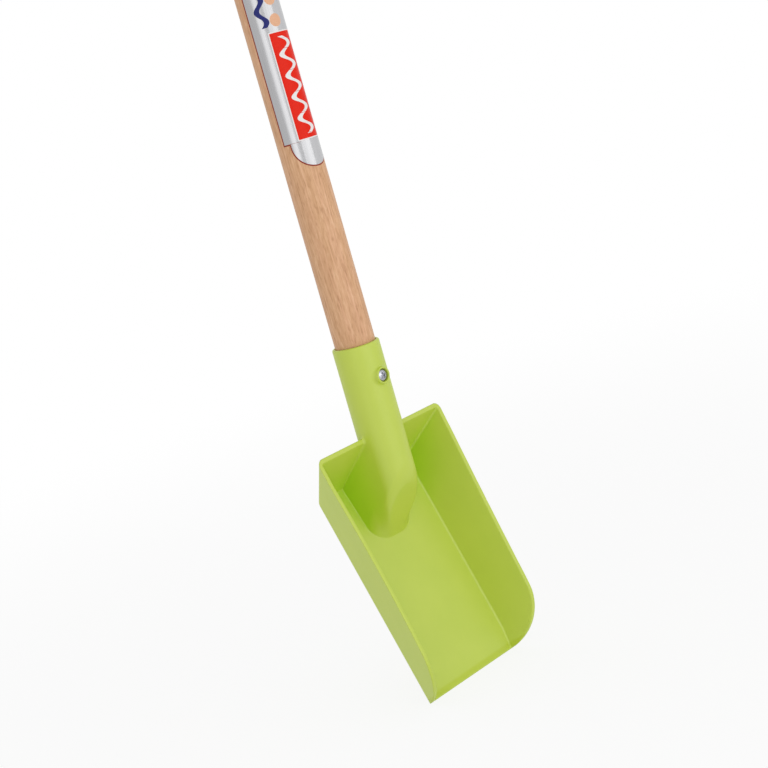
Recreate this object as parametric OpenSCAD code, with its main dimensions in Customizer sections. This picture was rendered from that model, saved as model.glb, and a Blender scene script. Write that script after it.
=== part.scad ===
// Child's sand shovel: a moulded scoop with a socket, a wooden handle, one screw and a wrap label.
// The origin is the middle of the socket's mouth, on the axis of the handle.
// The handle points up along +Z, and the open side of the scoop faces -Y.

/* [Handle] */
// Diameter of the wooden handle
handle_d = 24; // [22:1:30]
// Length of the handle above the socket's mouth
handle_len = 540; // [320:10:900]
// Rounding of the handle's top edge
handle_round = 8; // [2:1:10]
// How much smaller the end inside the socket is turned, on the diameter
tenon_step = 0.4; // [0.2:0.1:1]
// Bevel on the end inside the socket
tenon_bevel = 1.5; // [0.5:0.5:3]

/* [Socket] */
// Wall of the socket
socket_wall = 1.9; // [1.5:0.1:4]
// Room between the handle and the socket's hole, on the radius
bore_clearance = 0.1; // [0.05:0.05:0.4]
// How far the hole for the handle runs past the foot of the back wall
bore_past = 1; // [-20:1:3]
// Distance along the handle from the mouth to above the foot of the scoop's back wall
socket_len = 71; // [60:1:110]
// Rounding of the outer edge at the mouth
mouth_round = 0.7; // [0.2:0.1:1.2]

/* [Boss] */
// Distance of the screw below the mouth
boss_drop = 20; // [14:1:30]
// Diameter of the boss at its top
boss_d = 9.4; // [9:0.2:13]
// Diameter of the boss at its foot
boss_foot_d = 11.4; // [10:0.2:16]
// Height of the boss above the socket
boss_h = 1.6; // [1:0.2:4]

/* [Scoop] */
// Width of the floor between the sharp bottom corners
floor_w = 77; // [64:1:120]
// Length of the floor from the foot of the back wall to the nose
floor_len = 134; // [100:1:200]
// Thickness of the floor and walls
wall_t = 2.4; // [1.6:0.1:4]
// Height of the rim at the back
back_h = 34.5; // [28:0.5:45]
// Height that the rim's line would have above the nose
nose_h = 27.5; // [20:0.5:40]
// Outward lean of the side walls, in degrees
side_draft = 22; // [5:1:35]
// Backward lean of the back wall, in degrees
back_lean = 27; // [5:1:35]
// Radius of the rounded front end of each side wall
nose_round = 32; // [20:1:40]
// Length of the bevel on top of the nose
nose_bevel = 5.5; // [1:0.5:9]
// Thickness of the nose's edge
nose_edge = 1; // [0.5:0.1:1.4]
// Radius of the scoop's back corners on the outside
corner_r = 4; // [1:0.5:6]
// Radius of the scoop's back corners on the inside
fillet_r = 3; // [1:0.5:6]

/* [Hump] */
// Angle between the handle and the scoop's floor, in degrees
pitch = 20; // [12:1:28]
// Height of the handle's axis above the foot of the back wall
axis_h = 28.75; // [25:0.25:36]
// Distance from the foot of the back wall to the front of the hump
hump_len = 39; // [37:0.5:60]
// Slant of the hump's front, in degrees from the floor
hump_slope = 54; // [50:1:70]
// Width of the hump on the floor, at the back wall
hump_back_w = 39; // [32:0.5:44]
// Width of the hump on the floor, at its front
hump_front_w = 33.5; // [28:0.5:40]
// Rounding of the edge over the hump's front
hump_round = 3.5; // [2:0.5:6]
// Rounding of the hump's front corners on the floor
hump_foot_round = 9; // [3:0.5:12]

/* [Screw] */
// Diameter of the screw's head
head_d = 7; // [6:0.5:8]
// Height of the screw's head
head_h = 2; // [1.5:0.1:3]
// Diameter of the screw's shank
shank_d = 3.5; // [3:0.5:4.5]
// Length of the screw under its head
shank_len = 16; // [12:1:20]
// How far the head lies below the top of the boss
head_sink = 0.2; // [0:0.1:0.6]
// Room round the screw's head
head_clearance = 0.4; // [0.2:0.1:0.6]
// Room round the shank in the socket wall
shank_clearance = 0.2; // [0.1:0.1:0.4]
// Room round the shank in the wood
pilot_clearance = 0.05; // [0.05:0.05:0.2]
// Width of the cross in the head
cross_w = 1; // [0.8:0.1:1.2]
// Length of the cross in the head
cross_len = 4; // [3:0.5:4.5]
// Depth of the cross in the head
cross_depth = 1.2; // [0.8:0.1:1.4]

/* [Label] */
// Distance from the socket's mouth to the label's lower tip
label_start = 104; // [60:1:150]
// Length of the label from tip to tip
label_len = 150; // [80:5:180]
// Width of the label round the handle
label_w = 35.2; // [30:0.2:36]
// Radius of the label's round ends
label_end_r = 13.6; // [8:0.2:14.6]
// Length of the straight neck between the label's body and its round ends
label_neck = 1.2; // [0.4:0.2:6]
// Thickness of the label
label_t = 0.12; // [0.08:0.02:0.16]

/* [Hidden] */
$fn = 96;

// How far cuts run past the faces that they open
overrun = 1;
// Facets of the rounded forms inside hulls, and steps of computed arcs
hull_facets = 32;
arc_steps = 24;
// Angle between the balls round the hump's front
hump_turn = 22.5;
// How far the faceted hump lies inside the round tube that it carries on
blend_sink = 0.05;
// How far the screw's pilot hole runs past its tip
pilot_spare = 0.5;
// Share of the shank that is its point
tip_share = 0.25;
// Share of the head's height that is domed
dome_share = 0.6;

lime = [0.72, 0.79, 0.36];
beech = [0.80, 0.64, 0.50];
zinc = [0.72, 0.73, 0.76];
foil = [0.80, 0.80, 0.82];

handle_r = handle_d / 2;
tenon_r = handle_r - tenon_step / 2;
bore_r = handle_r + bore_clearance;
socket_r = bore_r + socket_wall;
bore_depth = socket_len + bore_past;

// Growth in width and in depth of the scoop for each unit of height
side_rise = tan(side_draft);
back_rise = tan(back_lean);
back_y = back_h * back_rise;
rim_slope = atan((back_h - nose_h) / (floor_len + back_y));
rim_top = back_h + corner_r + fillet_r + wall_t;
far_y = rim_top * back_rise + overrun;
span = floor_w + 2 * side_rise * rim_top + 2 * overrun;

// Middle of the socket's mouth, in the scoop's own frame
mouth_y = socket_len * cos(pitch);
mouth_z = axis_h + socket_len * sin(pitch);

head_seat = socket_r + boss_h - head_h - head_sink;
pilot_end = head_seat - shank_len - pilot_spare;

function arc(centre, r, from, to) =
    [for (i = [0 : arc_steps]) centre + r * [cos(from + (to - from) * i / arc_steps),
                                             sin(from + (to - from) * i / arc_steps)]];

// Point at height z that lies a given depth inside a side wall and the back wall
function inside(z, depth) =
    [floor_w / 2 + side_rise * z - depth / cos(side_draft), back_rise * z - depth / cos(back_lean), z];

// Place of the middle of the back wall's thickness at height z
function wall_middle(z) = back_rise * z - wall_t / 2 / cos(back_lean);

// Point of the scoop's frame at a distance s along the handle's axis, and at a radius and a turn about it
function about_axis(s, r, turn) =
    [r * sin(turn),
     s * cos(pitch) - r * cos(turn) * sin(pitch),
     axis_h + s * sin(pitch) + r * cos(turn) * cos(pitch)];

// Distance along the axis at which a line on the tube lies a given depth behind the hump's slanted front
function front_reach(r, turn, depth) =
    (r * cos(turn) * cos(hump_slope - pitch) + depth
     - hump_len * sin(hump_slope) + (axis_h - wall_t) * cos(hump_slope)) / sin(hump_slope - pitch);

// Distance along the axis at which a line on the tube meets the middle of the back wall
function wall_reach(r, turn) =
    (wall_middle(axis_h + r * cos(turn) * cos(pitch)) + r * cos(turn) * sin(pitch))
    / (cos(pitch) - back_rise * sin(pitch));

// The scoop's own frame: the floor's underside at z = 0, the foot of the back wall at y = 0, the nose at -y
module scoop_frame() {
    rotate([90 - pitch, 0, 0])
        translate([0, -mouth_y, -mouth_z])
            children();
}

// A shape drawn in y and z, drawn out to both sides
module side_extrude(width) {
    rotate([90, 0, 90])
        linear_extrude(width, center = true)
            children();
}

// Space between the side walls and the back wall, with round corners, from below the floor to above the rim
module walls(depth, ball_r) {
    inset = depth + ball_r;
    hull()
        for (side = [-1, 1], z = [-ball_r, rim_top], front = [0, 1]) {
            p = inside(z, inset);
            y = front == 1 ? -floor_len - overrun - ball_r : p[1];
            translate([side * p[0], y, z])
                sphere(ball_r, $fn = hull_facets);
        }
}

// Side view of the scoop: a flat floor, and a sloped rim that runs into a rounded front end
module side_outline() {
    centre_y = nose_round - floor_len;
    centre_z = nose_h + nose_round * tan(rim_slope) - nose_round / cos(rim_slope);
    low_z = min(0, centre_z) - overrun;
    intersection() {
        polygon(concat(
            [[-floor_len, low_z]],
            arc([centre_y, centre_z], nose_round, 180, 90 + rim_slope),
            [[far_y, back_h + (far_y - back_y) * tan(rim_slope)], [far_y, low_z]]));
        translate([-floor_len - overrun, 0])
            square([floor_len + far_y + 2 * overrun, rim_top]);
    }
}

// Side view of the hollow: the floor's top, which falls away to a thin edge at the nose
module hollow_outline() {
    fall = (wall_t - nose_edge) / nose_bevel;
    polygon([
        [-floor_len - overrun, nose_edge - overrun * fall],
        [-floor_len + nose_bevel, wall_t],
        [far_y, wall_t],
        [far_y, rim_top + overrun],
        [-floor_len - overrun, rim_top + overrun]]);
}

// Floor and walls, without the hump and the socket
module shell() {
    difference() {
        intersection() {
            walls(0, corner_r);
            side_extrude(span)
                side_outline();
        }
        intersection() {
            walls(wall_t, fillet_r);
            side_extrude(span)
                hollow_outline();
        }
    }
}

// Round tube from its mouth until all of it is through the back wall
module tube() {
    end_z = wall_reach(socket_r, 180) - socket_len;
    rotate_extrude()
        polygon(concat(
            [[0, 0], [0, end_z], [socket_r, end_z]],
            arc([socket_r - mouth_round, -mouth_round], mouth_round, 0, 90)));
}

// One ball of the hump's outline
module hump_ball(place, ball_r) {
    translate(place)
        sphere(ball_r, $fn = hull_facets);
}

// Inside the scoop the tube stands on the floor with leaning sides, and ends in a slanted, rounded front
module hump() {
    r = socket_r - blend_sink;
    edge_r = r - hump_round;
    far_z = wall_reach(r, 0) - socket_len;
    near_z = wall_reach(r, 180) - socket_len;
    high_z = axis_h + 2 * socket_r;
    foot_r = hump_foot_round / sin(hump_slope);
    foot_z = wall_t - foot_r * cos(hump_slope);
    front_y = hump_foot_round - hump_len;
    intersection() {
        hull() {
            translate([0, 0, near_z])
                cylinder(r = r, h = far_z - near_z, $fn = 2 * hull_facets);
            scoop_frame() {
                for (turn = [-90 : hump_turn : 90])
                    hump_ball(about_axis(front_reach(edge_r, turn, hump_round), edge_r, turn), hump_round);
                for (side = [-1, 1]) {
                    hump_ball([side * (hump_front_w / 2 - hump_foot_round), front_y, foot_z], foot_r);
                    hump_ball([side * (hump_back_w / 2 - hump_round), hump_round, wall_t], hump_round);
                }
            }
        }
        scoop_frame()
            side_extrude(span)
                polygon([
                    [-floor_len, wall_t / 2],
                    [wall_middle(wall_t / 2), wall_t / 2],
                    [wall_middle(high_z), high_z],
                    [-floor_len, high_z]]);
    }
}

// Turns its children to point along the screw, from a given distance in front of the handle's axis
module along_screw(distance) {
    translate([0, -distance, -boss_drop])
        rotate([-90, 0, 0])
            children();
}

module boss() {
    along_screw(socket_r + boss_h)
        cylinder(d1 = boss_d, d2 = boss_foot_d, h = boss_h + socket_wall);
}

// Hole for the handle, and the stepped hole for the screw
module socket_holes() {
    translate([0, 0, -bore_depth])
        cylinder(r = bore_r, h = bore_depth + overrun);
    along_screw(socket_r + boss_h + overrun)
        cylinder(d = head_d + 2 * head_clearance, h = socket_r + boss_h + overrun - head_seat);
    along_screw(socket_r + boss_h)
        cylinder(d = shank_d + 2 * shank_clearance, h = socket_r + boss_h);
}

module blade() {
    color(lime)
        difference() {
            union() {
                scoop_frame()
                    shell();
                tube();
                hump();
                boss();
            }
            socket_holes();
        }
}

module handle() {
    color(beech)
        difference() {
            rotate_extrude()
                polygon(concat(
                    [[0, -bore_depth], [tenon_r - tenon_bevel, -bore_depth]],
                    [[tenon_r, tenon_bevel - bore_depth], [tenon_r, 0], [handle_r, 0]],
                    arc([handle_r - handle_round, handle_len - handle_round], handle_round, 0, 90),
                    [[0, handle_len]]));
            along_screw(handle_r + overrun)
                cylinder(d = shank_d + 2 * pilot_clearance, h = handle_r + overrun - pilot_end);
        }
}

module screw() {
    dome = head_h * dome_share;
    dome_r = (head_d * head_d / 4 + dome * dome) / (2 * dome);
    tip = shank_len * tip_share;
    color(zinc)
        along_screw(head_seat)
            difference() {
                union() {
                    intersection() {
                        translate([0, 0, -head_h])
                            cylinder(d = head_d, h = head_h);
                        translate([0, 0, dome_r - head_h])
                            sphere(dome_r);
                    }
                    cylinder(d = shank_d, h = shank_len - tip);
                    translate([0, 0, shank_len - tip])
                        cylinder(d1 = shank_d, d2 = 0, h = tip);
                }
                for (turn = [0, 90])
                    rotate([0, 0, turn])
                        translate([-cross_len / 2, -cross_w / 2, -head_h - overrun])
                            cube([cross_len, cross_w, cross_depth + overrun]);
            }
}

// Place across the front that a point has once it is wrapped round the handle
function wrapped(u) = handle_r * sin(u / handle_r * 180 / PI);

// Cut that leaves the label's round end and neck, with the neck's root at 0
module label_end_cut() {
    root = wrapped(label_end_r);
    reach = label_end_r + label_neck + 2 * overrun;
    rotate([90, 0, 0])
        linear_extrude(2 * handle_r)
            difference() {
                translate([-handle_r - overrun, -reach])
                    square([2 * (handle_r + overrun), reach]);
                polygon(concat(
                    [for (p = arc([0, -label_neck], label_end_r, 180, 360)) [wrapped(p[0]), p[1]]],
                    [[root, overrun], [-root, overrun]]));
            }
}

// Thin foil round the front of the handle: a straight body with a narrower round end above and below
module label() {
    half_turn = label_w / handle_r * 90 / PI;
    end_len = label_end_r + label_neck;
    color(foil)
        difference() {
            translate([0, 0, label_start - overrun])
                rotate([0, 0, -90 - half_turn])
                    rotate_extrude(angle = 2 * half_turn)
                        translate([handle_r, 0])
                            square([label_t, label_len + 2 * overrun]);
            translate([0, 0, label_start + end_len])
                label_end_cut();
            translate([0, 0, label_start + label_len - end_len])
                mirror([0, 0, 1])
                    label_end_cut();
        }
}

blade();
handle();
screw();
label();
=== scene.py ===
"""Looks of a child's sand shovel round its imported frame.

Sizes are in millimetres. Shapes are made in millimetres and scaled to metres when they become pieces.
The row's frame has its origin in the socket's mouth, with the handle along +Z and the scoop open to -Y.
"""
import math

import bmesh
import bpy
import numpy as np
from mathutils import Matrix, Vector


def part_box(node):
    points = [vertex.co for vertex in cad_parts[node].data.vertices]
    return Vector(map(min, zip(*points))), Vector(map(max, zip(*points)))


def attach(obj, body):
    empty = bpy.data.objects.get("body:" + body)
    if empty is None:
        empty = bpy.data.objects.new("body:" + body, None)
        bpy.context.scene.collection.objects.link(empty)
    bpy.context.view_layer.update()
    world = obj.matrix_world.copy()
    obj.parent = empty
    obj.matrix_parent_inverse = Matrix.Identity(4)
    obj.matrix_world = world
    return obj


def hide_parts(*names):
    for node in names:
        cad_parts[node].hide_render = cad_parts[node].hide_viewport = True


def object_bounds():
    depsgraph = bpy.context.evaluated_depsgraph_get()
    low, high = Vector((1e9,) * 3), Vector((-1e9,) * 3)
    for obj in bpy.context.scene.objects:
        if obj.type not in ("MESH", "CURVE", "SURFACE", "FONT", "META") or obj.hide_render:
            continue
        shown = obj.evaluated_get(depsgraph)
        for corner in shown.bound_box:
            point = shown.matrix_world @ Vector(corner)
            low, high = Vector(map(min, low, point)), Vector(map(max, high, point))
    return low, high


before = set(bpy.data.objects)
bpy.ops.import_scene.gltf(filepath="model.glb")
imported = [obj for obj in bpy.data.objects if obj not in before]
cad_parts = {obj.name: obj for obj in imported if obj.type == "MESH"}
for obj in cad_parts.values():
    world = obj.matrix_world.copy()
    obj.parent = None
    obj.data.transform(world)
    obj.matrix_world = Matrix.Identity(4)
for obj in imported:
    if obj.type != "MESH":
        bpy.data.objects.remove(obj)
cad_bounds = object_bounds()

MM = 0.001
BODY = "root"

# Scoop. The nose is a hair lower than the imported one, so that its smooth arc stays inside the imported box
FLOOR_W = 77.0
FLOOR_LEN = 134.0
WALL = 2.4
BACK_H = 34.5
NOSE_H = 27.49
SIDE_DRAFT = math.radians(22)
BACK_LEAN = math.radians(27)
NOSE_ROUND = 32.0
NOSE_BEVEL = 5.5
NOSE_EDGE = 1.0

# Edges of the scoop, and how far its side walls bow inwards
CORNER_R = 4.0
FILLET_R = 1.2
FLOOR_EDGE = 0.5
FLOOR_FILLET = 0.9
NOSE_BLEND = 3.0
NOSE_R = 0.3
RIM_R = 0.5
RIM_FULL_Z = 3 * WALL
BOW_LEFT = 2.0
BOW_RIGHT = 0.6

# Handle. Its length comes from the frame
HANDLE_R = 12.0
HANDLE_ROUND = 8.0
HANDLE_RING = 6.0
TENON_STEP = 0.2
SHOULDER_DROP = 0.2
SHOULDER_EDGE = 0.05
SANDING = 0.012
SANDING_WAVES = (31.0, 11.0)

# Screw
HEAD_R = 3.5
HEAD_H = 2.0
HEAD_DOME = 0.9
HEAD_EDGE = 0.5
HEAD_UNDER_EDGE = 0.02
SHANK_R = 1.75
SHANK_LEN = 16.0
SHANK_POINT = 4.0
CROSS_W = 1.4
CROSS_LEN = 4.2
CROSS_DEPTH = 1.2
CROSS_TAPER = 0.12
CROSS_CLOSE = 0.6
CROSS_EDGE = 0.12
CROSS_TURN = math.radians(20)

# Socket and the hump inside the scoop
PITCH = math.radians(20)
AXIS_H = 28.75
SOCKET_LEN = 71.0
SOCKET_R = 14.0
BORE_CLEARANCE = 0.3
BORE_R = HANDLE_R - TENON_STEP + BORE_CLEARANCE
BORE_PAST = 1.0
MOUTH_R = 1.1
LEAD_R = 0.2
HUMP_LEN = 40.0
HUMP_SLOPE = math.radians(54)
HUMP_DRAFT = math.radians(12)
HUMP_ROUND = 4.2
FOOT_ROUND = 13.0
FOOT_OVAL = 1.35
FOOT_GROW = 12.0
FOOT_FILLET = 0.6
RIM_FILLET = 1.5
FILLET_FROM_Z = 10.0
FILLET_TO_Z = 30.0

# Boss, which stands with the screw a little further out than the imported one
BOSS_DROP = 20.0
BOSS_R = 4.8
BOSS_FOOT_R = 5.8
BOSS_H = 2.1
BOSS_LIFT = 0.5
BOSS_REACH = 2 * BOSS_R
BOSS_ROOT = SOCKET_R - BORE_R
BOSS_FILLET = 1.0
BOSS_EDGE = 0.35
HEAD_CLEARANCE = 0.3
HEAD_HOLE_R = HEAD_R + HEAD_CLEARANCE
HEAD_SINK = 0.2
HEAD_SEAT = SOCKET_R + BOSS_H - HEAD_H - HEAD_SINK
SHANK_CLEARANCE = 0.2
SHANK_HOLE_R = SHANK_R + SHANK_CLEARANCE

# Label and its print. Its length comes from the frame, and places across it are measured round from the front
LABEL_W = 35.2
LABEL_END_R = 13.6
LABEL_NECK = 1.2
LABEL_STEP = 0.2
EDGE_LINE = 0.75
LAYER = 0.022
THIN = 0.02
PANEL_START = 15.8
PANEL_LEN = 61.0
PANEL_W = 16.4
PANEL_CORNER = 0.4
BORDER = 0.6
WAVE_W = 3.2
WAVE_LEN = 12.0
WAVE_SWING = 3.6
WAVE_GAP = 3.0
WAVE_ROW = 0.8
NAVY_PLACE = -9.0
NAVY_SWING = 2.0
SPOT_R = 3.6
SPOT_STEP = 12.0
SPOT_PLACE = -1.5

# Meshes: how fine they are, and the small lengths by which slopes are measured and points welded
BLADE_VOXEL = 0.5
BLADE_TRIANGLES = 70000
SCREW_VOXEL = 0.12
SCREW_TRIANGLES = 9000
HANDLE_SIDES = 128
PATCH_COLUMNS = 48
ROUND_STEPS = 16
PROJECT_STEPS = 4
RELAX_ROUNDS = 3
RELAX_STEPS = 4
PROBE = 0.02
WELD = 0.02
LEAST_SLOPE = 0.02

# Colours, as light values
LIME = (0.515, 0.625, 0.060)
LIME_DEEP = (0.495, 0.610, 0.054)
# The next two limes are painted shade: deeper on the nose bevel, greener in the hollows
LIME_NOSE_PAINTED_SHADE = (0.465, 0.575, 0.012)
LIME_HOLLOW_PAINTED_SHADE = (0.470, 0.705, 0.018)
BEECH = (0.735, 0.437, 0.244)
BEECH_PINK = (0.715, 0.403, 0.236)
BEECH_DARK = (0.570, 0.310, 0.155)
BEECH_PALE = (0.835, 0.543, 0.335)
BEECH_FLECK = (0.400, 0.190, 0.085)
FOIL = (0.98, 0.98, 1.0)
FOIL_DARK = (0.88, 0.88, 0.90)
NAVY = (0.030, 0.036, 0.180)
NAVY_DEEP = (0.022, 0.028, 0.150)
PEACH = (0.80, 0.47, 0.30)
PEACH_DEEP = (0.74, 0.41, 0.25)
RED = (0.82, 0.022, 0.006)
RED_DEEP = (0.73, 0.016, 0.005)
EDGE_RED = (0.30, 0.045, 0.026)
EDGE_RED_DEEP = (0.24, 0.032, 0.020)
WHITE = (0.85, 0.84, 0.83)
WHITE_DEEP = (0.78, 0.77, 0.76)
ZINC = (0.55, 0.56, 0.60)
ZINC_DARK = (0.33, 0.34, 0.38)

# Gloss: roughness, how far it varies, and the strength of the sheen on what isn't metal
LIME_ROUGHNESS = 0.45
LIME_ROUGHNESS_SPREAD = 0.05
LIME_SPECULAR = 0.83
BEECH_ROUGHNESS = 0.5
BEECH_SPECULAR = 0.35
FOIL_ROUGHNESS = 0.26
INK_ROUGHNESS = 0.34
INK_SPECULAR = 0.1
ZINC_ROUGHNESS = 0.3
ZINC_ROUGHNESS_SPREAD = 0.08

# Noises: size across the handle, size along it, octaves, and how much of each octave the next one keeps
LIME_CLOUDS = (18.0, 18.0, 2, 0.5)
LIME_SKIN = (0.9, 0.9, 3, 0.5)
BEECH_BANDS = (5.0, 90.0, 2, 0.5)
BEECH_STREAKS = (1.1, 22.0, 4, 0.65)
BEECH_FLECKS = (1.1, 6.0, 3, 0.6)
BEECH_CRACKS = (0.9, 34.0, 1, 0.5)
FOIL_BRUSHING = (0.35, 14.0, 3, 0.5)
INK_GRAIN = (0.5, 0.5, 2, 0.5)
ZINC_WEAR = (0.8, 0.8, 4, 0.5)

# Middle of a noise, and how far either side of it two tones pass into each other
NOISE_MIDDLE = 0.5
WIDE_FADE = 0.2
NARROW_FADE = 0.15

# Places on a noise, and how much of a tone shows there
STREAK_DARK = ((0.38, 0.75), (0.62, 0.0))
STREAK_PALE = ((0.60, 0.0), (0.78, 0.8))
FLECK_DARK = ((0.54, 0.0), (0.70, 0.6))
FLECK_PALE = ((0.30, 0.5), (0.44, 0.0))
CRACK_DARK = ((0.70, 0.0), (0.76, 0.6))

# Bumps: strength and depth
SKIN_BUMP = (0.06, 0.05)
STREAK_BUMP = (0.15, 0.08)

# Painted shade: a greener tone in the hollows of the scoop, where shade falls. How near a wall counts,
# how open a place is and how much of the tone shows there, and the depths below the socket's mouth
# between which the tone sets in
HOLLOW_REACH = 40.0
HOLLOW_SAMPLES = 8
HOLLOW_SHARES = ((0.25, 1.0), (0.64, 0.0))
HOLLOW_FROM = 30.0
HOLLOW_TO = 45.0

# Painted shade: a deeper tone along the nose bevel; places on the bevel, and how much of the tone shows there
NOSE_PAINTED_SHADE_SHARES = ((0.12, 0.0), (0.25, 1.0), (0.6, 1.0), (0.9, 0.0))

# Painted reflections: light and dark tones round the foil, by degrees from the front
FOIL_TURN = 90
FOIL_PAINTED_REFLECTIONS = [(-90, 0.50), (0, 0.58), (12, 0.38), (28, 0.33), (44, 0.57), (58, 0.46), (90, 0.45)]

# Numbers of the sockets that a mix node has for colours
MIX_FACTOR = 0
MIX_A = 6
MIX_B = 7
MIX_RESULT = 2

# Camera, from a perspective fit to the photograph
CAMERA_PLACE = Vector((-648.2, -705.6, 146.2))
CAMERA_TARGET = Vector((3.75, -10.04, -26.30))
CAMERA_ROLL = math.radians(-15.9)
CAMERA_LENS = 78.995
CAMERA_SENSOR = 36.0

# Studio: softboxes by azimuth from the front, width, height and watts, and a white ground
SOFTBOXES = [
    ("key", math.radians(-2), 1200.0, 600.0, 3.75),
    ("side", math.radians(60), 600.0, 600.0, 0.9),
]
SOFTBOX_AWAY = 1300.0
SOFTBOX_UP = 100.0
WORLD_LIGHT = 0.76
GROUND_SIZE = 40000.0
GROUND_GREY = 0.9
GROUND_NEAR = 250.0
GROUND_FAR = 1200.0
GROUND_WHITE_NEAR = 0.85


def smooth_step(low, high, value):
    """Smooth rise from 0 to 1 as a value goes from low to high."""
    t = np.clip((value - low) / (high - low), 0, 1)
    return t * t * (3 - 2 * t)


def round_and(a, b, r):
    """Distance to what lies inside both a and b, with their edge rounded to radius r."""
    return np.minimum(-r, np.maximum(a, b)) + np.hypot(np.maximum(r + a, 0), np.maximum(r + b, 0))


def round_or(a, b, r):
    """Distance to what lies inside a or b, with a fillet of radius r between them."""
    return np.maximum(r, np.minimum(a, b)) - np.hypot(np.maximum(r - a, 0), np.maximum(r - b, 0))


def by_tube(y, z):
    """Place along the socket's axis from its point above the back wall's foot, and height above the axis."""
    along = y * math.cos(PITCH) + (z - AXIS_H) * math.sin(PITCH)
    above = (z - AXIS_H) * math.cos(PITCH) - y * math.sin(PITCH)
    return along, above


def from_screw(x, along):
    """Distance from the screw's axis."""
    return np.hypot(x, along - SOCKET_LEN + BOSS_DROP)


def behind(y, z):
    """Distance behind the outer face of the back wall."""
    return (y - z * math.tan(BACK_LEAN)) * math.cos(BACK_LEAN)


def side_bow(x, y, z):
    """How far a side wall bows inwards: most at the rim, half-way along."""
    most = np.where(x < 0, BOW_LEFT, BOW_RIGHT)
    return most * z / BACK_H * np.sin(np.pi * np.clip(-y / FLOOR_LEN, 0, 1))


def tray(x, y, z, depth, floor, r, floor_r):
    """Distance to the space above a floor, between walls that lie a depth inside their outer faces.

    The walls meet in corners of radius r, and run into the floor with radius floor_r.
    """
    out = np.abs(x) + side_bow(x, y, z) - FLOOR_W / 2 - z * math.tan(SIDE_DRAFT)
    side = out * math.cos(SIDE_DRAFT) + depth
    return round_and(round_and(side, behind(y, z) + depth, r), floor, floor_r)


def side_outline(y, z):
    """Distance to the side view of the scoop: a sloped rim that runs into a rounded front end."""
    back_y = BACK_H * math.tan(BACK_LEAN)
    slope = math.atan((BACK_H - NOSE_H) / (FLOOR_LEN + back_y))
    ahead = NOSE_ROUND - FLOOR_LEN - y
    above = z - NOSE_H - NOSE_ROUND * math.tan(slope) + NOSE_ROUND / math.cos(slope)
    rim = (z - BACK_H - (y - back_y) * math.tan(slope)) * math.cos(slope)
    in_arc = (above > 0) & (ahead * math.cos(slope) > above * math.sin(slope))
    return np.where(in_arc, np.hypot(ahead, above) - NOSE_ROUND, np.maximum(rim, -FLOOR_LEN - y))


def shell(x, y, z):
    """Distance to the floor and walls of the scoop."""
    fall = math.atan2(WALL - NOSE_EDGE, NOSE_BEVEL)
    bevel = (NOSE_EDGE - z) * math.cos(fall) + (y + FLOOR_LEN) * math.sin(fall)
    inner_floor = round_or(WALL - z, bevel, NOSE_BLEND)
    hollow = tray(x, y, z, WALL, inner_floor, FILLET_R, FLOOR_FILLET)
    walls = np.maximum(tray(x, y, z, 0, -z, CORNER_R, FLOOR_EDGE), -hollow)
    edge_r = NOSE_R + (RIM_R - NOSE_R) * smooth_step(WALL, RIM_FULL_Z, z)
    return round_and(walls, side_outline(y, z), edge_r)


def tube_and_hump(x, y, z):
    """Distance to the socket's tube and to the hump that it becomes inside the scoop."""
    along, above = by_tube(y, z)
    radius = np.hypot(x, above)

    # Below its tangent lines the hump has straight sides that lean out to the floor, and end in the back wall
    down_side = np.abs(x) * math.sin(HUMP_DRAFT) - above * math.cos(HUMP_DRAFT)
    leaning = np.abs(x) * math.cos(HUMP_DRAFT) + above * math.sin(HUMP_DRAFT) - SOCKET_R
    past_wall = smooth_step(-WALL, 0, behind(y, z))
    straight = leaning + (radius - SOCKET_R - leaning) * past_wall
    section = np.where(down_side > 0, straight, radius - SOCKET_R)

    # The edge round its slanted front grows to a wide oval corner at the foot
    grown = smooth_step(0, FOOT_GROW, down_side)
    front_r = HUMP_ROUND + (FOOT_ROUND - HUMP_ROUND) * grown
    front = (z - WALL) * math.cos(HUMP_SLOPE) - (y + HUMP_LEN) * math.sin(HUMP_SLOPE)
    front = front * (1 + (FOOT_OVAL - 1) * grown)
    tube = round_and(round_and(radius - SOCKET_R, along - SOCKET_LEN, MOUTH_R), front, front_r)
    hump = np.maximum(round_and(section, front, front_r), along - SOCKET_LEN / 2)
    return np.minimum(tube, hump)


def with_boss(body, off_screw, above):
    """Distance to a body with the boss round the screw, and its stepped hole."""
    top = SOCKET_R + BOSS_H
    flare = (BOSS_FOOT_R - BOSS_R) / (BOSS_H + BOSS_ROOT)
    cone = (off_screw - BOSS_R - (top - above) * flare) * math.cos(math.atan(flare))
    boss = np.maximum(round_and(cone, above - top, BOSS_EDGE), BORE_R - above)
    body = round_or(body, boss, BOSS_FILLET)
    body = round_and(body, -np.maximum(off_screw - HEAD_HOLE_R, HEAD_SEAT - above), BOSS_EDGE)
    return np.maximum(body, -np.maximum(off_screw - SHANK_HOLE_R, -above))


def blade_distance(p):
    """Distance to the whole moulding in the scoop's frame: floor at z = 0, foot of the back wall at y = 0."""
    x, y, z = p.T
    along, above = by_tube(y, z)
    fillet = FOOT_FILLET + (RIM_FILLET - FOOT_FILLET) * smooth_step(FILLET_FROM_Z, FILLET_TO_Z, z)
    body = np.maximum(round_or(shell(x, y, z), tube_and_hump(x, y, z), fillet), -z)
    body = with_boss(body, from_screw(x, along), above)
    bore = np.maximum(np.hypot(x, above) - BORE_R, -BORE_PAST - along)
    return round_and(body, -bore, LEAD_R)


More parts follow.
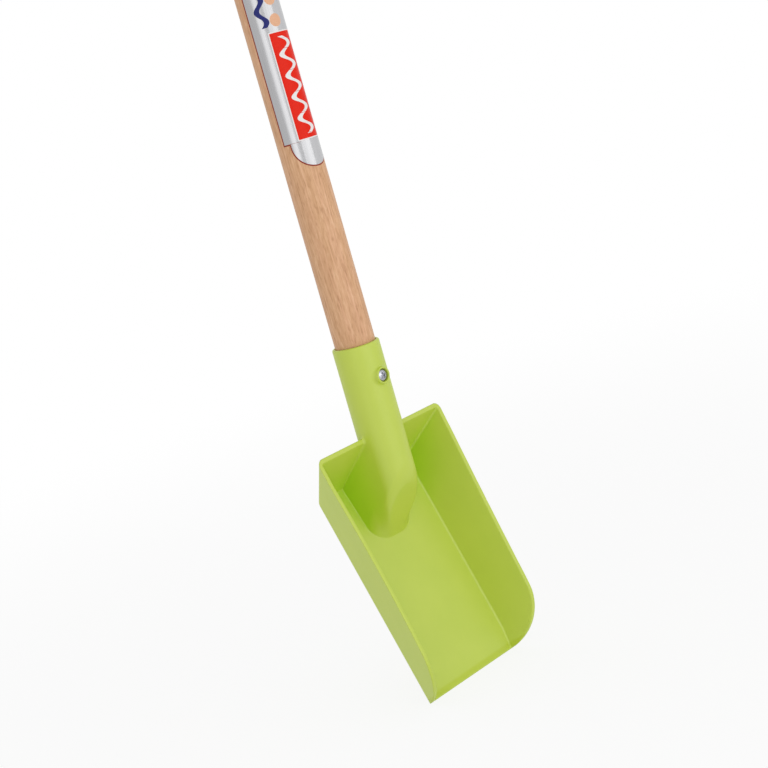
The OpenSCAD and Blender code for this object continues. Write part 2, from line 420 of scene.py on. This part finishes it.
def blade_moved(p):
    """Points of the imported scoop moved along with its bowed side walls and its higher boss."""
    x, y, z = p.T
    near_wall = smooth_step(SOCKET_R, FLOOR_W / 2, np.abs(x))
    inwards = -np.sign(x) * side_bow(x, y, z) * near_wall
    along, above = by_tube(y, z)
    near_screw = from_screw(x, along) < BOSS_REACH
    lift = BOSS_LIFT * near_screw * smooth_step(SOCKET_R, SOCKET_R + BOSS_H - BOSS_LIFT, above)
    return np.stack([x + inwards, y - lift * math.sin(PITCH), z + lift * math.cos(PITCH)], axis=1)


def screw_distance(p):
    """Distance to the screw, with z up out of its head and the head's underside at z = 0."""
    x, y, z = p.T
    off = np.hypot(x, y)
    ball_r = (HEAD_R * HEAD_R + HEAD_DOME * HEAD_DOME) / (2 * HEAD_DOME)
    ball = np.hypot(off, z - HEAD_H + ball_r) - ball_r
    cap = round_and(round_and(ball, off - HEAD_R, HEAD_EDGE), -z, HEAD_UNDER_EDGE)
    head = np.maximum(cap, z - HEAD_H)
    past_tip = -SHANK_LEN - z
    taper = SHANK_R / SHANK_POINT
    point = (off - SHANK_R + (past_tip + SHANK_POINT) * taper) * math.cos(math.atan(taper))
    shank = np.maximum(np.maximum(off - SHANK_R, point), z - HEAD_H / 2)

    # Four flutes of the cross that narrow with depth
    depth = HEAD_H - z
    half_w = CROSS_W / 2 - depth * CROSS_TAPER
    half_len = CROSS_LEN / 2 - depth * CROSS_CLOSE
    flutes = np.minimum(
        np.maximum(np.abs(x) - half_w, np.abs(y) - half_len),
        np.maximum(np.abs(y) - half_w, np.abs(x) - half_len))
    cross = np.maximum(flutes, depth - CROSS_DEPTH)
    return round_and(np.minimum(head, shank), -cross, CROSS_EDGE)


def screw_moved(p):
    """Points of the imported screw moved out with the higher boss."""
    return p + (0, 0, BOSS_LIFT)


def scoop_to_row():
    """Matrix from the scoop's frame to the row's frame, both in millimetres."""
    mouth = Vector((0, SOCKET_LEN * math.cos(PITCH), AXIS_H + SOCKET_LEN * math.sin(PITCH)))
    return Matrix.Rotation(math.pi / 2 - PITCH, 4, "X") @ Matrix.Translation(-mouth)


def screw_to_row():
    """Matrix from the screw's frame to the row's frame, both in millimetres."""
    out = Matrix.Translation((0, -HEAD_SEAT, -BOSS_DROP)) @ Matrix.Rotation(math.pi / 2, 4, "X")
    return out @ Matrix.Rotation(CROSS_TURN, 4, "Z")


def slope_of(distance, p):
    """How fast a distance grows along x, y and z."""
    steps = np.eye(3) * PROBE
    return np.stack([distance(p + s) - distance(p - s) for s in steps], axis=1) / (2 * PROBE)


def onto(distance, p):
    """Points moved onto the surface where the distance is zero."""
    for _ in range(PROJECT_STEPS):
        slope = slope_of(distance, p)
        size = np.maximum((slope * slope).sum(axis=1), LEAST_SLOPE)
        p = p - slope * (distance(p) / size)[:, None]
    return p


def mesh_points(mesh):
    """A mesh's points as rows of x, y and z."""
    p = np.empty(len(mesh.vertices) * 3)
    mesh.vertices.foreach_get("co", p)
    return p.reshape(-1, 3)


def set_points(mesh, p):
    mesh.vertices.foreach_set("co", p.ravel())
    mesh.update()


def smooth_shaded(mesh):
    mesh.polygons.foreach_set("use_smooth", [True] * len(mesh.polygons))


def new_object(name, data):
    """An object linked to the scene."""
    made = bpy.data.objects.new(name, data)
    bpy.context.scene.collection.objects.link(made)
    return made


def modified(mesh, kind, **settings):
    """A copy of the mesh with one modifier applied."""
    holder = new_object("holder", mesh)
    modifier = holder.modifiers.new(kind, kind)
    for name, value in settings.items():
        setattr(modifier, name, value)
    result = bpy.data.meshes.new_from_object(holder.evaluated_get(bpy.context.evaluated_depsgraph_get()))
    bpy.data.objects.remove(holder)
    return result


def packed_mesh(name, to_row):
    """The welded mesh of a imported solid, in millimetres in its own frame."""
    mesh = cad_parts[name].data.copy()
    mesh.materials.clear()
    mesh.transform(to_row.inverted() @ Matrix.Scale(1 / MM, 4))
    welded = bmesh.new()
    welded.from_mesh(mesh)
    bmesh.ops.remove_doubles(welded, verts=welded.verts, dist=WELD)
    welded.to_mesh(mesh)
    welded.free()
    return mesh


def refined(name, to_row, distance, moved, voxel, triangles):
    """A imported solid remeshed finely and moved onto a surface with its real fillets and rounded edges."""
    mesh = modified(packed_mesh(name, to_row), "REMESH", mode="VOXEL", voxel_size=voxel)
    set_points(mesh, moved(mesh_points(mesh)))
    for _ in range(RELAX_ROUNDS):
        set_points(mesh, onto(distance, mesh_points(mesh)))
        mesh = modified(mesh, "SMOOTH", iterations=RELAX_STEPS)
    set_points(mesh, onto(distance, mesh_points(mesh)))
    # The remeshed faces have four corners, so each counts as two triangles
    mesh = modified(mesh, "DECIMATE", ratio=min(1, triangles / (2 * len(mesh.polygons))))
    points = onto(distance, mesh_points(mesh))
    set_points(mesh, points)
    normals = slope_of(distance, points)
    normals /= np.linalg.norm(normals, axis=1, keepdims=True)
    smooth_shaded(mesh)
    mesh.transform(Matrix.Scale(MM, 4) @ to_row)
    mesh.normals_split_custom_set_from_vertices(normals @ np.array(to_row.to_3x3()).T)
    return mesh


def lathe(profile, sides):
    """Mesh in metres of a profile of radii and heights turned about the handle's axis."""
    turns = [2 * math.pi * i / sides for i in range(sides)]
    points = [(r * math.cos(t) * MM, r * math.sin(t) * MM, z * MM) for r, z in profile for t in turns]
    faces = []
    for i in range(len(profile) - 1):
        for j in range(sides):
            k = (j + 1) % sides
            faces.append((i * sides + j, i * sides + k, (i + 1) * sides + k, (i + 1) * sides + j))
    faces.append(tuple(reversed(range(sides))))
    faces.append(tuple(range(len(points) - sides, len(points))))
    mesh = bpy.data.meshes.new("lathe")
    mesh.from_pydata(points, [], faces)
    smooth_shaded(mesh)
    return mesh


def wrapped_patch(rows, radius):
    """Mesh in metres of a thin layer on the handle, from rows of a height and the places of its two edges."""
    points = []
    for z, low, high in rows:
        for i in range(PATCH_COLUMNS + 1):
            turn = (low + (high - low) * i / PATCH_COLUMNS) / HANDLE_R
            points.append((radius * math.sin(turn) * MM, -radius * math.cos(turn) * MM, z * MM))
    wide = PATCH_COLUMNS + 1
    faces = [(r * wide + c, r * wide + c + 1, (r + 1) * wide + c + 1, (r + 1) * wide + c)
             for r in range(len(rows) - 1) for c in range(PATCH_COLUMNS)]
    mesh = bpy.data.meshes.new("patch")
    mesh.from_pydata(points, [], faces)
    mesh = modified(mesh, "SOLIDIFY", thickness=(radius - HANDLE_R) * MM, offset=-1)
    smooth_shaded(mesh)
    outward = mesh_points(mesh) * (1, 1, 0)
    mesh.normals_split_custom_set_from_vertices(outward / np.linalg.norm(outward, axis=1, keepdims=True))
    return mesh


def node(tree, kind, **inputs):
    """A shader node with its input values set by name."""
    made = tree.nodes.new(kind)
    for name, value in inputs.items():
        made.inputs[name.replace("_", " ")].default_value = value
    return made


def math_node(tree, operation, a, b):
    """The result of a sum on two values."""
    made = tree.nodes.new("ShaderNodeMath")
    made.operation = operation
    tree.links.new(a, made.inputs[0])
    tree.links.new(b, made.inputs[1])
    return made.outputs[0]


def new_material(name, roughness, **inputs):
    """A Principled material, its tree and its shader."""
    material = bpy.data.materials.new(name)
    material.use_nodes = True
    tree = material.node_tree
    shader = tree.nodes["Principled BSDF"]
    shader.inputs["Roughness"].default_value = roughness
    for key, value in inputs.items():
        shader.inputs[key.replace("_", " ")].default_value = value
    return material, tree, shader


def stretched_noise(tree, across, along, octaves, kept):
    """Noise with features of a given size across the handle and along it."""
    place = tree.nodes.new("ShaderNodeTexCoord")
    scale = (1 / (across * MM), 1 / (across * MM), 1 / (along * MM))
    mapping = node(tree, "ShaderNodeMapping", Scale=scale)
    noise = node(tree, "ShaderNodeTexNoise", Scale=1.0, Detail=octaves, Roughness=kept)
    tree.links.new(place.outputs["Object"], mapping.inputs["Vector"])
    tree.links.new(mapping.outputs["Vector"], noise.inputs["Vector"])
    return noise.outputs["Fac"]


def share_along(tree, way, start, end):
    """How far a place lies along a direction: 0 up to the start, 1 from the end on."""
    place = tree.nodes.new("ShaderNodeTexCoord")
    along = tree.nodes.new("ShaderNodeVectorMath")
    along.operation = "DOT_PRODUCT"
    along.inputs[1].default_value = way
    share = node(tree, "ShaderNodeMapRange", From_Min=start * MM, From_Max=end * MM)
    tree.links.new(place.outputs["Object"], along.inputs[0])
    tree.links.new(along.outputs["Value"], share.inputs["Value"])
    return share.outputs["Result"]


def ramp(tree, value, *stops):
    """Tones along a value, from stops of a place and a tone, which is a colour or a grey."""
    made = tree.nodes.new("ShaderNodeValToRGB")
    elements = made.color_ramp.elements
    while len(elements) < len(stops):
        elements.new(1)
    for element, (place, tone) in zip(elements, stops):
        element.position = place
        element.color = (*tone, 1) if isinstance(tone, tuple) else (tone, tone, tone, 1)
    tree.links.new(value, made.inputs["Fac"])
    return made.outputs["Color"]


def two_tone(tree, noise, fade, low, high):
    """Two tones that pass into each other round the middle of a noise."""
    return ramp(tree, noise, (NOISE_MIDDLE - fade, low), (NOISE_MIDDLE + fade, high))


def mixed(tree, factor, a, b, blend="MIX"):
    """Two colours mixed, each a socket or a plain colour."""
    made = tree.nodes.new("ShaderNodeMix")
    made.data_type = "RGBA"
    made.blend_type = blend
    for number, value in ((MIX_FACTOR, factor), (MIX_A, a), (MIX_B, b)):
        socket = made.inputs[number]
        if isinstance(value, bpy.types.NodeSocket):
            tree.links.new(value, socket)
        elif isinstance(value, float):
            socket.default_value = value
        else:
            socket.default_value = (*value, 1)
    return made.outputs[MIX_RESULT]


def vary_roughness(tree, shader, noise, middle, spread):
    """Let the roughness vary with a noise by a spread either side of its middle."""
    rough = two_tone(tree, noise, WIDE_FADE, middle - spread, middle + spread)
    tree.links.new(rough, shader.inputs["Roughness"])


def bump(tree, shader, height, strength, depth):
    """Give a shader's surface a relief."""
    made = node(tree, "ShaderNodeBump", Strength=strength, Distance=depth * MM)
    tree.links.new(height, made.inputs["Height"])
    tree.links.new(made.outputs["Normal"], shader.inputs["Normal"])


def painted_hollow_shade(tree):
    """How much a place on the scoop is shut in by its walls and the hump, for its painted shade."""
    openness = node(tree, "ShaderNodeAmbientOcclusion", Distance=HOLLOW_REACH * MM)
    openness.only_local = True
    openness.samples = HOLLOW_SAMPLES
    shut_in = ramp(tree, openness.outputs["AO"], *HOLLOW_SHARES)
    in_scoop = share_along(tree, Vector((0, 0, -1)), HOLLOW_FROM, HOLLOW_TO)
    return mixed(tree, in_scoop, (0.0, 0.0, 0.0), shut_in)


def painted_nose_shade(tree):
    """How much a place lies on the bevel of the nose, for its painted shade."""
    to_row = scoop_to_row()
    back = to_row.to_3x3() @ Vector((0, 1, 0))
    nose = back.dot(to_row @ Vector((0, -FLOOR_LEN, 0)))
    return ramp(tree, share_along(tree, back, nose, nose + NOSE_BEVEL), *NOSE_PAINTED_SHADE_SHARES)


def lime_plastic():
    """Satin plastic with faint clouds and a fine skin, and painted shade: greener in hollows, deeper along
    its nose.
    """
    material, tree, shader = new_material("lime_plastic", LIME_ROUGHNESS, Specular_IOR_Level=LIME_SPECULAR)
    lime = two_tone(tree, stretched_noise(tree, *LIME_CLOUDS), WIDE_FADE, LIME_DEEP, LIME)
    # Painted shade: greener in the hollows and deeper along the nose bevel
    lime = mixed(tree, painted_hollow_shade(tree), lime, LIME_HOLLOW_PAINTED_SHADE)
    lime = mixed(tree, painted_nose_shade(tree), lime, LIME_NOSE_PAINTED_SHADE)
    tree.links.new(lime, shader.inputs["Base Color"])
    skin = stretched_noise(tree, *LIME_SKIN)
    vary_roughness(tree, shader, skin, LIME_ROUGHNESS, LIME_ROUGHNESS_SPREAD)
    bump(tree, shader, skin, *SKIN_BUMP)
    return material


def beech_wood():
    """Pale sanded wood with streaks, short flecks and a few dark cracks along the handle."""
    material, tree, shader = new_material("beech_wood", BEECH_ROUGHNESS, Specular_IOR_Level=BEECH_SPECULAR)
    tone = two_tone(tree, stretched_noise(tree, *BEECH_BANDS), NARROW_FADE, BEECH_PINK, BEECH)
    streaks = stretched_noise(tree, *BEECH_STREAKS)
    flecks = stretched_noise(tree, *BEECH_FLECKS)
    cracks = stretched_noise(tree, *BEECH_CRACKS)
    marks = [
        (streaks, STREAK_DARK, BEECH_DARK),
        (streaks, STREAK_PALE, BEECH_PALE),
        (flecks, FLECK_DARK, BEECH_FLECK),
        (flecks, FLECK_PALE, BEECH_PALE),
        (cracks, CRACK_DARK, BEECH_FLECK),
    ]
    for noise, shares, colour in marks:
        tone = mixed(tree, ramp(tree, noise, *shares), tone, colour)
    tree.links.new(tone, shader.inputs["Base Color"])
    bump(tree, shader, streaks, *STREAK_BUMP)
    return material


def turn_from_front(tree):
    """Turn round the handle from its front as a share, from 0 to 1 over the foil's tones."""
    place = tree.nodes.new("ShaderNodeTexCoord")
    # The front is at -Y, so the place is turned half-way round before its turn is measured
    facing = tree.nodes.new("ShaderNodeVectorMath")
    facing.operation = "MULTIPLY"
    facing.inputs[1].default_value = (-1, -1, 1)
    parts = tree.nodes.new("ShaderNodeSeparateXYZ")
    tree.links.new(place.outputs["Object"], facing.inputs[0])
    tree.links.new(facing.outputs["Vector"], parts.inputs[0])
    turn = math_node(tree, "ARCTAN2", parts.outputs["X"], parts.outputs["Y"])
    most = math.radians(FOIL_TURN)
    share = node(tree, "ShaderNodeMapRange", From_Min=-most, From_Max=most)
    tree.links.new(turn, share.inputs["Value"])
    return share.outputs["Result"]


def silver_foil():
    """Brushed silver foil with painted reflections, soft light and dark stripes along the handle."""
    material, tree, shader = new_material("silver_foil", FOIL_ROUGHNESS, Metallic=1.0)
    stops = [((turn / FOIL_TURN + 1) / 2, tone) for turn, tone in FOIL_PAINTED_REFLECTIONS]
    # Painted reflections: light and dark tones by the turn round the handle
    painted_reflections = ramp(tree, turn_from_front(tree), *stops)
    grain = two_tone(tree, stretched_noise(tree, *FOIL_BRUSHING), WIDE_FADE, FOIL_DARK, FOIL)
    tree.links.new(mixed(tree, 1.0, painted_reflections, grain, "MULTIPLY"), shader.inputs["Base Color"])
    return material


def print_ink(name, colour, deep):
    """Smooth ink with a faint grain."""
    material, tree, shader = new_material(name, INK_ROUGHNESS, Specular_IOR_Level=INK_SPECULAR)
    ink = two_tone(tree, stretched_noise(tree, *INK_GRAIN), NARROW_FADE, deep, colour)
    tree.links.new(ink, shader.inputs["Base Color"])
    return material


def zinc_metal():
    """Bright zinc plating with fine wear."""
    material, tree, shader = new_material("zinc_plate", ZINC_ROUGHNESS, Metallic=1.0)
    wear = stretched_noise(tree, *ZINC_WEAR)
    tree.links.new(two_tone(tree, wear, WIDE_FADE, ZINC_DARK, ZINC), shader.inputs["Base Color"])
    vary_roughness(tree, shader, wear, ZINC_ROUGHNESS, ZINC_ROUGHNESS_SPREAD)
    return material


def piece(name, mesh, material, slot, *nodes):
    """A mesh in metres as a piece that rides on the shovel, in place of the nodes it stands for."""
    mesh.name = name
    mesh.materials.clear()
    mesh.materials.append(material)
    obj = new_object(name, mesh)
    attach(obj, BODY)
    if nodes:
        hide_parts(*nodes)
    return obj


def make_blade():
    """Scoop, hump, socket and boss in one moulding."""
    mesh = refined("blade", scoop_to_row(), blade_distance, blade_moved, BLADE_VOXEL, BLADE_TRIANGLES)
    piece("blade_moulding", mesh, lime_plastic(), "blade_plastic", "blade")


def make_screw():
    """Domed screw with a cross in its head and a plain shank."""
    mesh = refined("screw", screw_to_row(), screw_distance, screw_moved, SCREW_VOXEL, SCREW_TRIANGLES)
    piece("pan_head_screw", mesh, zinc_metal(), "screw_metal", "screw")


def make_handle():
    """Round, slightly uneven stick with a softly rounded top and a thinner end in the socket."""
    low, high = (c.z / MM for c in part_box("handle"))
    tenon_r = HANDLE_R - TENON_STEP
    profile = [(tenon_r, low), (tenon_r, -SHOULDER_DROP), (HANDLE_R - SHOULDER_EDGE, -SHOULDER_EDGE)]
    round_z = high - HANDLE_ROUND
    ring_count = int(round_z / HANDLE_RING)
    for i in range(ring_count + 1):
        z = round_z * i / ring_count
        uneven = SANDING * (sum(math.sin(z / wave) for wave in SANDING_WAVES) - len(SANDING_WAVES))
        profile.append((HANDLE_R + uneven, z))
    for i in range(1, ROUND_STEPS + 1):
        turn = math.pi / 2 * i / ROUND_STEPS
        r = HANDLE_R - HANDLE_ROUND * (1 - math.cos(turn))
        profile.append((r, high - HANDLE_ROUND * (1 - math.sin(turn))))
    piece("handle_stick", lathe(profile, HANDLE_SIDES), beech_wood(), "handle_wood", "handle")


def mirrored(half, low, high):
    """Rows of an outline from those of its lower half, each a height and half a width."""
    rows = half + [(low + high - z, w) for z, w in reversed(half)]
    return [(z, -max(w, THIN), max(w, THIN)) for z, w in rows]


def label_rows(low, high, inset):
    """Rows of the label: a straight body with a narrower round end above and below."""
    end_r = LABEL_END_R - inset
    turns = [math.pi / 2 * i / ROUND_STEPS for i in range(ROUND_STEPS + 1)]
    half = [(low + inset + end_r * (1 - math.cos(t)), end_r * math.sin(t)) for t in turns]
    step = low + LABEL_END_R + LABEL_NECK + inset
    half += [(step - LABEL_STEP, end_r), (step, LABEL_W / 2 - inset)]
    return mirrored(half, low, high)


def panel_rows(low, high, half_w):
    """Rows of a rectangle with rounded corners."""
    turns = [math.pi / 2 * i / ROUND_STEPS for i in range(ROUND_STEPS + 1)]
    half = [(low + PANEL_CORNER * (1 - math.sin(t)), half_w - PANEL_CORNER * (1 - math.cos(t)))
            for t in reversed(turns)]
    return mirrored(half, low, high)


def wave_rows(low, high, middle, swing):
    """Rows of a band that swings to and fro along the handle."""
    count = int((high - low) / WAVE_ROW)
    rows = []
    for i in range(count + 1):
        z = low + (high - low) * i / count
        u = middle + swing * math.sin(2 * math.pi * (z - low) / WAVE_LEN)
        rows.append((z, u - WAVE_W / 2, u + WAVE_W / 2))
    return rows


def spot_rows(z, middle):
    """Rows of a round spot."""
    rows = []
    for i in range(ROUND_STEPS + 1):
        turn = math.pi * i / ROUND_STEPS
        half_w = SPOT_R * math.sin(turn) + THIN
        rows.append((z - SPOT_R * math.cos(turn), middle - half_w, middle + half_w))
    return rows


def make_label():
    """Foil with a red edge line, a bordered red panel with a wave along it, and a wave and spots above it."""
    low, high = (c.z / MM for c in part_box("label"))
    edge_ink = print_ink("edge_red_ink", EDGE_RED, EDGE_RED_DEEP)
    red_ink = print_ink("panel_red_ink", RED, RED_DEEP)
    white_ink = print_ink("panel_white_ink", WHITE, WHITE_DEEP)
    navy_ink = print_ink("navy_ink", NAVY, NAVY_DEEP)
    peach_ink = print_ink("peach_ink", PEACH, PEACH_DEEP)

    panel_low = low + PANEL_START
    panel_high = panel_low + PANEL_LEN
    body_high = high - LABEL_END_R - LABEL_NECK - EDGE_LINE
    border = panel_rows(panel_low, panel_high, PANEL_W / 2)
    panel = panel_rows(panel_low + BORDER, panel_high - BORDER, PANEL_W / 2 - BORDER)
    panel_wave = wave_rows(panel_low + WAVE_GAP, panel_high - WAVE_GAP, 0, WAVE_SWING)
    navy_wave = wave_rows(panel_high + WAVE_GAP, body_high - WAVE_GAP, NAVY_PLACE, NAVY_SWING)

    # Each layer's name, its level above the wood, its outline and its material
    layers = [
        ("label_edge", 1, label_rows(low, high, 0), edge_ink),
        ("label_foil", 2, label_rows(low, high, EDGE_LINE), silver_foil()),
        ("label_panel_border", 3, border, white_ink),
        ("label_panel", 4, panel, red_ink),
        ("label_panel_wave", 5, panel_wave, white_ink),
        ("label_navy_wave", 3, navy_wave, navy_ink),
    ]
    for i in range(int((body_high - panel_high) / SPOT_STEP)):
        spot = spot_rows(panel_high + SPOT_STEP * (i + 1 / 2), SPOT_PLACE)
        layers.append(("label_spot_%d" % (i + 1), 3, spot, peach_ink))
    for name, level, rows, material in layers:
        mesh = wrapped_patch(rows, HANDLE_R + level * LAYER)
        made = piece(name, mesh, material, "label_foil")
        if name == "label_foil":
            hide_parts("label")


def aimed(place, target):
    """Matrix in metres that stands at a place and faces a target."""
    facing = (target - place).to_track_quat("-Z", "Y").to_matrix().to_4x4()
    return Matrix.Translation(place * MM) @ facing


def make_camera():
    """Camera where the photograph was taken from."""
    data = bpy.data.cameras.new("camera")
    data.lens = CAMERA_LENS
    data.sensor_width = CAMERA_SENSOR
    camera = new_object("camera", data)
    camera.matrix_world = aimed(CAMERA_PLACE, CAMERA_TARGET) @ Matrix.Rotation(CAMERA_ROLL, 4, "Z")
    bpy.context.scene.camera = camera


def background_rays(tree):
    """1 for rays that see the background: from the camera, and by way of metal or glass."""
    path = tree.nodes.new("ShaderNodeLightPath")
    rays = path.outputs["Is Camera Ray"]
    for name in ("Is Glossy Ray", "Is Transmission Ray"):
        rays = math_node(tree, "MAXIMUM", rays, path.outputs[name])
    return rays


def mix_shaders(tree, factor, a, b, output):
    """Link a mix of two shaders to an output."""
    mix = tree.nodes.new("ShaderNodeMixShader")
    tree.links.new(factor, mix.inputs[0])
    tree.links.new(a.outputs[0], mix.inputs[1])
    tree.links.new(b.outputs[0], mix.inputs[2])
    tree.links.new(mix.outputs[0], output.inputs["Surface"])


def make_world():
    """Even light on the object, in front of a white background."""
    world = bpy.data.worlds.new("studio")
    bpy.context.scene.world = world
    world.use_nodes = True
    tree = world.node_tree
    light = tree.nodes["Background"]
    light.inputs["Color"].default_value = (1, 1, 1, 1)
    light.inputs["Strength"].default_value = WORLD_LIGHT
    white = node(tree, "ShaderNodeBackground", Color=(1, 1, 1, 1), Strength=1.0)
    mix_shaders(tree, background_rays(tree), light, white, tree.nodes["World Output"])


def ground_white():
    """Matte white that is plain white as background, but near the object keeps some of its shadow."""
    material = bpy.data.materials.new("floor_white")
    material.use_nodes = True
    tree = material.node_tree
    tree.nodes.clear()
    matte = node(tree, "ShaderNodeBsdfDiffuse", Color=(GROUND_GREY, GROUND_GREY, GROUND_GREY, 1))
    white = node(tree, "ShaderNodeEmission", Color=(1, 1, 1, 1), Strength=1.0)
    place = tree.nodes.new("ShaderNodeTexCoord")
    away = tree.nodes.new("ShaderNodeVectorMath")
    away.operation = "LENGTH"
    fade = node(tree, "ShaderNodeMapRange", From_Min=GROUND_NEAR * MM, From_Max=GROUND_FAR * MM,
                To_Min=GROUND_WHITE_NEAR, To_Max=1.0)
    fade.interpolation_type = "SMOOTHSTEP"
    tree.links.new(place.outputs["Object"], away.inputs[0])
    tree.links.new(away.outputs["Value"], fade.inputs["Value"])
    share = math_node(tree, "MULTIPLY", background_rays(tree), fade.outputs["Result"])
    mix_shaders(tree, share, matte, white, tree.nodes.new("ShaderNodeOutputMaterial"))
    return material


def make_floor():
    """Plain white floor under the object."""
    half = GROUND_SIZE / 2 * MM
    z = cad_bounds[0][2]
    corners = [(-half, -half, z), (half, -half, z), (half, half, z), (-half, half, z)]
    mesh = bpy.data.meshes.new("floor")
    mesh.from_pydata(corners, [], [(0, 1, 2, 3)])
    mesh.materials.append(ground_white())
    floor = new_object("floor", mesh)


def make_softboxes():
    """Soft lamps that face the socket's mouth."""
    for name, azimuth, width, height, power in SOFTBOXES:
        data = bpy.data.lights.new(name, "AREA")
        data.shape = "RECTANGLE"
        data.size = width * MM
        data.size_y = height * MM
        data.energy = power
        lamp = new_object(name, data)
        place = Vector((-math.sin(azimuth) * SOFTBOX_AWAY, -math.cos(azimuth) * SOFTBOX_AWAY, SOFTBOX_UP))
        lamp.matrix_world = aimed(place, Vector((0, 0, 0)))


make_blade()
make_screw()
make_handle()
make_label()

bpy.context.scene.view_settings.view_transform = "Standard"
make_camera()
make_world()
make_floor()
make_softboxes()
